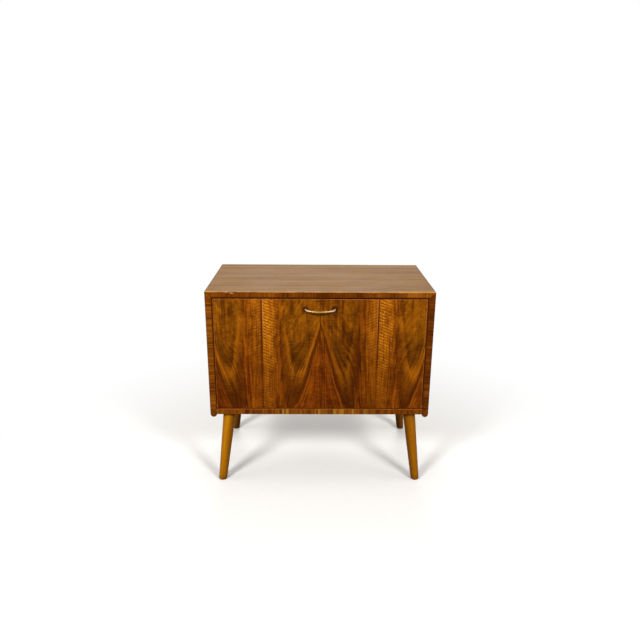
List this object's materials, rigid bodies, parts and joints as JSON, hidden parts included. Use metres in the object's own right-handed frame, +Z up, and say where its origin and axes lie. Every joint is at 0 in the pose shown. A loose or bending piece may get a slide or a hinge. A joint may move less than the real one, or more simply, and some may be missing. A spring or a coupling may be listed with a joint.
{
  "type": "cellarette",
  "caption": "Low walnut-veneered bar cabinet on splayed tapered legs, with a bookmatched fall front that drops on stays to make a serving shelf, and a slim bow pull.",
  "frame": {"origin": "on the floor under the middle of the whole outline, pull included", "axes": "+X to the right as seen from the front, the front faces -Y, +Z up"},
  "size_m": [0.75, 0.442, 0.694],
  "materials": {
    "walnut_veneered_panel": "satin lacquered walnut veneer, grain along the panel",
    "walnut_face_veneer": "satin lacquered bookmatched figured walnut",
    "walnut_cross_band": "satin lacquered cross-grained walnut strip",
    "walnut_backing_veneer": "satin lacquered plain walnut veneer",
    "blockboard_core": "bare blockboard, stained at the edges",
    "solid_walnut": "satin lacquered solid walnut",
    "plywood": "thin stained plywood",
    "beech_dowel": "bare beech",
    "beech_leg": "honey-stained lacquered beech",
    "brass_pull": "aged satin brass",
    "brass_fitting": "lightly tarnished brass",
    "zinc_steel": "zinc-plated steel",
    "steel_screw": "zinc-plated steel screws",
    "nylon_glide": "dark moulded plastic",
    "brown_plastic": "dark brown moulded plastic",
    "ferrite_magnet": "bare grey ferrite"
  },
  "bodies": {
    "carcase": {"back_left_leg": "beech_leg", "back_left_leg_plate": "zinc_steel", "back_panel": "plywood", "back_panel_screws": "steel_screw", "back_right_leg": "beech_leg", "back_right_leg_plate": "zinc_steel", "base_dowels": "beech_dowel", "base_edge_band": "walnut_cross_band", "base_panel": "walnut_veneered_panel", "catch_body": "brown_plastic", "catch_magnet": "ferrite_magnet", "catch_screws": "steel_screw", "front_left_leg": "beech_leg", "front_left_leg_plate": "zinc_steel", "front_right_leg": "beech_leg", "front_right_leg_plate": "zinc_steel", "hinge_case_screws": "steel_screw", "left_corner_spline": "plywood", "left_edge_band": "walnut_cross_band", "left_hinge_case_leaf": "brass_fitting", "left_runner": "solid_walnut", "left_side_panel": "walnut_veneered_panel", "left_stay_stud_plate": "brass_fitting", "leg_bolts": "zinc_steel", "leg_glides": "nylon_glide", "leg_plate_screws": "steel_screw", "right_corner_spline": "plywood", "right_edge_band": "walnut_cross_band", "right_hinge_case_leaf": "brass_fitting", "right_runner": "solid_walnut", "right_side_panel": "walnut_veneered_panel", "right_stay_stud_plate": "brass_fitting", "shelf": "walnut_veneered_panel", "shelf_pins": "brass_fitting", "side_dowels": "beech_dowel", "stay_plate_screws": "steel_screw", "top_edge_band": "walnut_cross_band", "top_panel": "walnut_veneered_panel"},
    "fall_front": {"fall_front_backing": "walnut_backing_veneer", "fall_front_panel": "blockboard_core", "hinge_door_screws": "steel_screw", "left_hinge_door_leaf": "brass_fitting", "left_inner_veneer": "walnut_face_veneer", "left_outer_veneer": "walnut_face_veneer", "left_stay_bracket": "brass_fitting", "left_stay_rivet": "brass_fitting", "pull_handle": "brass_pull", "pull_screws": "steel_screw", "right_hinge_door_leaf": "brass_fitting", "right_inner_veneer": "walnut_face_veneer", "right_outer_veneer": "walnut_face_veneer", "right_stay_bracket": "brass_fitting", "right_stay_rivet": "brass_fitting", "stay_bracket_screws": "steel_screw", "strike_plate": "zinc_steel", "strike_screws": "steel_screw"},
    "left_stay": {"left_stay_arm": "brass_fitting"},
    "right_stay": {"right_stay_arm": "brass_fitting"}
  },
  "joints": [
    {"name": "fall_front_hinge", "type": "hinge", "parent": "carcase", "child": "fall_front", "pos_m": [0, -0.18, 0.287], "axis": [1, 0, 0], "range_deg": [0, 90]},
    {"name": "left_stay_turn", "type": "hinge", "parent": "fall_front", "child": "left_stay", "pos_m": [-0.3478, -0.154, 0.457], "axis": [1, 0, 0], "range_deg": [-45, 0]},
    {"name": "right_stay_turn", "type": "hinge", "parent": "fall_front", "child": "right_stay", "pos_m": [0.3478, -0.154, 0.457], "axis": [1, 0, 0], "range_deg": [-45, 0]}
  ],
  "couplings": [
    {"joint": "left_stay_turn", "follows": "fall_front_hinge", "ratio": -0.5},
    {"joint": "right_stay_turn", "follows": "fall_front_hinge", "ratio": -0.5}
  ]
}
